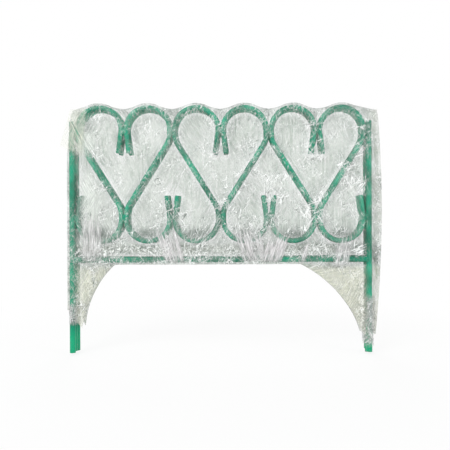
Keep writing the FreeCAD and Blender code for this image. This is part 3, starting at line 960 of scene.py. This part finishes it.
# Each look is milk, crumple, painted shade and warm.
EDGES = [
    ("top", front_points[-1], back_points[-1], 11, (0.32, 0.4, 0.2, 0.1)),
    ("right", front_points[::-1, -1], back_points[::-1, -1], 21, (0.30, 0.3, 0.06, 0.3)),
    ("arch", front_points[0, inner][::-1], back_points[0, inner][::-1], 31, (0.26, 0.3, 0.05, 0.5)),
    ("left", front_points[:, 0], back_points[:, 0], 41, (0.30, 0.4, 0.06, 0.3)),
]
for edge, front_edge, back_edge, seed, look in EDGES:
    strip_piece(f"film_{edge}_strip", f"film_{edge}_band", front_edge, back_edge, seed, look)

# %% [markdown]
# ## Bunches, cuffs and the loose flap
# Where the wrap was pulled together it runs in ropes of narrow pleats, opaque and white: one long
# bunch slants down to the rail left of the middle, and another opens like a V right of it. Round
# the feet the film is crushed into cuffs, and at the top left a loose end stands off as a flap.
# A bunch is a patch between four corners, with many thin ridges that run along it.

# %% Pleated patches
PLEAT_STEP = 0.6
STREAK_ALONG = (1.3, 30.0)


def patch(corners, across, along):
    """Bilinear patch: (A (1 - u) + B u) (1 - v) + (C (1 - u) + D u) v, with u right and v down."""
    a, b, c, d = (complex(*corner) for corner in corners)
    u = np.linspace(0, 1, across)[None, :]
    v = np.linspace(0, 1, along)[:, None]
    return u, v, (a * (1 - u) + b * u) * (1 - v) + (c * (1 - u) + d * u) * v


def pleats(u, v, count, seed, width, tall):
    """Sum of ridges tall exp(-|u - place - wander| / width), the place drifting slowly with v."""
    local = np.random.default_rng(seed)
    total = 0 * (u + v)
    for _ in range(count):
        place = local.uniform(0.02, 0.98) + local.uniform(-0.12, 0.12) * (v - 0.5)
        place = place + 0.02 * np.sin(local.uniform(3, 9) * v + local.uniform(0, 6))
        fade = np.clip(1 - ((v - local.uniform(0.2, 0.8)) / local.uniform(0.4, 0.9)) ** 2, 0, 1)
        strength = local.uniform(0.3, 1) * tall * fade
        total += strength * np.exp(-np.abs(u - place) / (width * local.uniform(0.6, 1.6)))
    return total


def developed(points):
    """Mean length of a grid's rows and of its columns: the size of the sheet before it was folded."""
    rows = np.linalg.norm(np.diff(points, axis=1), axis=-1).sum(axis=1).mean()
    columns = np.linalg.norm(np.diff(points, axis=0), axis=-1).sum(axis=0).mean()
    return rows * MM, columns * MM


def bunch(name, corners, count, level, seed, lift=1.2, tuck=0.12):
    """A rope of pleats in front of the wrap: each pleat starts at its own height, and the lower
    end tucks in under the rail."""
    wide = abs(complex(*corners[0]) - complex(*corners[1]))
    tall = abs(complex(*corners[0]) - complex(*corners[2]))
    u, v, flat = patch(corners, max(12, round(wide / PLEAT_STEP)), 60)
    ridge = pleats(u, v, count, seed, 0.7 / wide, 1.5)
    local = np.random.default_rng(seed + 500)
    knots = local.uniform(0, 0.5, max(6, round(wide / 2.2))) ** 1.6
    start = np.interp(u, np.linspace(0, 1, len(knots)), knots)
    sides = np.clip(np.minimum(u, 1 - u) * wide / 6, 0, 1)
    ends = sides * np.clip((v - start) / 0.16, 0, 1)
    under = np.clip((v - 1 + tuck) / tuck, 0, 1)
    y = -FILM_Y - 1.6 - (lift + ridge) * np.minimum(sides, np.clip(v * 8, 0, 1)) + 9 * under ** 2
    points = upright(flat.real, y, flat.imag)[::-1]
    shape = np.clip(ridge / 1.6, 0, 1)
    # Between the pleats the film is greyed by painted shade.
    fields = {"milk": level * (0.3 + 0.9 * shape) * ends, "crumple": 0.1 * ends,
              "shade": 0.3 * np.clip(0.4 - ridge, 0, 1) * ends, "hair": 0.5 * ends,
              "fan_left_near": 1 + 0 * ridge}
    fields = {key: [value[::-1]] for key, value in fields.items()}
    along = np.stack([u * wide / STREAK_ALONG[0] + 0 * v, v * tall / STREAK_ALONG[1] + 0 * u], axis=-1)
    piece = make_piece(name, bunch_film, [points], fields=fields,
                       maps={"fan_left": [along[::-1] + seed]})
    return piece


BUNCHES = {
    "film_bunch_left": (((166, 262), (217, 250), (192, 184), (236, 184)), 34, 0.95),
    "film_bunch_middle": (((322, 266), (392, 262), (352, 184), (398, 184)), 40, 0.8),
    "film_bunch_right": (((404, 246), (454, 240), (388, 184), (430, 184)), 32, 0.9),
    "film_bunch_small": (((480, 236), (494, 236), (466, 184), (480, 184)), 10, 0.75),
    "film_bunch_corner": (((20, 300), (62, 306), (18, 184), (66, 184)), 22, 0.5),
    "film_bunch_end": (((548, 240), (578, 240), (532, 174), (568, 174)), 16, 0.7),
}
for seed, (name, (corners, count, level)) in enumerate(BUNCHES.items()):
    bunch(name, corners, count, level, 60 + seed)

# %% Cuffs round the feet
CUFF_GAP = 1.5


def cuff(name, x, low, high, seed):
    """A stadium round the three posts, at each height pushed out by ridges that run at random
    slants: radius = post + gap + ridges, centre line from the front post to the back one."""
    a = np.linspace(0, 2 * np.pi, 96, endpoint=False)
    z = np.linspace(low, high, 60)[:, None]
    local = np.random.default_rng(seed)
    ridge = 0 * (a + z)
    for _ in range(60):
        slant = (z - local.uniform(low, high)) * local.uniform(-0.05, 0.05)
        turn = np.angle(np.exp(1j * (a - local.uniform(0, 2 * np.pi) - slant)))
        near = np.exp(-((z - local.uniform(low, high)) / local.uniform(5, 22)) ** 2)
        ridge += local.uniform(0.2, 1.6) * near * np.exp(-np.abs(turn) / local.uniform(0.05, 0.25))
    radius = POST_R + CUFF_GAP + np.minimum(ridge, 3.0)
    middle_y = STACK_PITCH * (1 + np.tanh(-2.2 * np.cos(a)))
    points = upright(x + radius * np.sin(a), middle_y - radius * np.cos(a), z + 0 * a)
    fade = np.clip(np.minimum(z - low, high - z) / 12, 0.15, 1) + 0 * a
    # A little painted shade greys the cuffs.
    fields = {"milk": [(0.3 + 0.16 * ridge) * fade], "crumple": [0.55 * fade], "hair": [0.5 * fade],
              "shade": [0.1 * fade]}
    piece = make_piece(name, bunch_film, [points], closed=True, fields=fields)


cuff("film_cuff_left", 1.0, 56.0, 104.0, 81)
cuff("film_cuff_right", SPAN + 0.8, 10.0, 118.0, 82)

# %% Loose flap at the top left
FLAP_CORNERS = ((-1, 500), (34, 503), (-25, 424), (26, 398))
u, v, flat = patch(FLAP_CORNERS, 40, 60)
flap_ridge = pleats(u, v, 9, 91, 0.03, 0.5)
fold = u - 0.1 - 1.7 * (v - 0.27)
flap_ridge = flap_ridge + 1.4 * (np.exp(-np.abs(fold) / 0.025) + np.exp(-np.abs(fold - 0.17) / 0.02))
flap_y = -FILM_Y - 1.8 + 5.0 * (1 - u) ** 2 * v + 1.2 * np.sin(4.5 * v + 2 * u) * (1 - u) - flap_ridge
flap_points = upright(flat.real, flap_y, flat.imag)[::-1]
inside = np.clip((1 - u) * 8, 0, 1) * np.clip((1 - v) * 14 + u * 0, 0.3, 1)
sliver = 1 - 0.9 * np.exp(-((fold - 0.09) / 0.05) ** 4)
flap_fields = {"milk": [((0.26 * sliver + 0.4 * flap_ridge) * inside)[::-1]],
               "hair": [(0.2 + 0 * flap_ridge)[::-1]], "warm": [(0.3 + 0 * flap_ridge)[::-1]]}
flap = make_piece("film_flap", loose_film, [flap_points], fields=flap_fields)
print("flap", [round(v * 1000) for v in developed(flap_points)], "mm flat")

# %% [markdown]
# ## Light, floor and backdrop
# A pale studio: white all round for the camera and for reflections, a plain grey-white level of
# fill for everything else, one large soft light high on the left and a weaker one on the right.
# The floor stays white to the camera but keeps part of the shadow that falls on it.

# %% Studio
FLOOR_GAP = 0.1
FILL_LEVEL = 0.55
SHADOW_SHARE = 0.12


def camera_sees(tree):
    """1 for rays from the camera, for reflections and for what glass lets through."""
    path = add(tree, "ShaderNodeLightPath")
    seen = add(tree, "ShaderNodeMath", {"operation": "MAXIMUM"},
               {0: path.outputs["Is Camera Ray"], 1: path.outputs["Is Glossy Ray"]})
    return add(tree, "ShaderNodeMath", {"operation": "MAXIMUM"},
               {0: seen, 1: path.outputs["Is Transmission Ray"]})


def white_world():
    """A world that is plain white to look at and a softer level as a light."""
    world = bpy.data.worlds.new("studio_white")
    world.use_nodes = True
    tree = world.node_tree
    tree.nodes.clear()
    seen = add(tree, "ShaderNodeBackground", {"Color": linear("#FFFFFF"), "Strength": 1.0})
    fill = add(tree, "ShaderNodeBackground", {"Color": linear("#FAFCFF"), "Strength": FILL_LEVEL})
    both = add(tree, "ShaderNodeMixShader", {}, {0: camera_sees(tree), 1: fill, 2: seen})
    add(tree, "ShaderNodeOutputWorld", {}, {"Surface": both})
    bpy.context.scene.world = world


def floor_material():
    """Pale floor: white to the camera, with a share of its real shading kept near the fence."""
    material, tree = new_material("pale_studio_floor")
    where = add(tree, "ShaderNodeTexCoord").outputs["Object"]
    away = add(tree, "ShaderNodeVectorMath",
               {"operation": "DISTANCE", 1: (VIEW_CENTRE[0] * MM, 0.0, 0.0)}, {0: where})
    kept = add(tree, "ShaderNodeMapRange",
               {"interpolation_type": "SMOOTHSTEP", "From Min": 0.25, "From Max": 0.9,
                "To Min": 1 - SHADOW_SHARE, "To Max": 1.0}, {"Value": away.outputs["Value"]})
    share = add(tree, "ShaderNodeMath", {"operation": "MULTIPLY"}, {0: kept, 1: camera_sees(tree)})
    grey = add(tree, "ShaderNodeBsdfDiffuse", {"Color": linear("#F2F2F0")})
    glow = add(tree, "ShaderNodeEmission", {"Color": linear("#FFFFFF"), "Strength": 1.0})
    both = add(tree, "ShaderNodeMixShader", {}, {0: share, 1: grey, 2: glow})
    add(tree, "ShaderNodeOutputMaterial", {}, {"Surface": both})
    return material


def soft_light(name, place, target, size, power):
    """A square area light that faces a point."""
    data = bpy.data.lights.new(name, "AREA")
    data.shape = "SQUARE"
    data.size = size
    data.energy = power
    light = bpy.data.objects.new(name, data)
    bpy.context.scene.collection.objects.link(light)
    light.location = place
    light.rotation_euler = (Vector(target) - Vector(place)).to_track_quat("-Z", "Y").to_euler()
    return light


white_world()
span = 8.0
floor_z = cad_box[0].z - FLOOR_GAP * MM
floor_mesh = bpy.data.meshes.new("studio_floor")
square = ((-span, -span), (span, -span), (span, span), (-span, span))
floor_corners = [(x + VIEW_CENTRE[0] * MM, y, floor_z) for x, y in square]
floor_mesh.from_pydata(floor_corners, [], [(0, 1, 2, 3)])
floor_mesh.materials.append(floor_material())
floor = bpy.data.objects.new("studio_floor", floor_mesh)
bpy.context.scene.collection.objects.link(floor)
middle = (0.3, 0.0, 0.25)
soft_light("key_softbox", (-0.7, -1.5, 1.7), middle, 1.1, 26)
soft_light("side_softbox", (1.9, -0.9, 0.9), middle, 0.9, 7)
soft_light("back_softbox", (0.2, 1.6, 1.5), middle, 1.2, 12)
bpy.context.scene.view_settings.view_transform = "Standard"
print("floor at", round(floor_z / MM, 2), "mm")
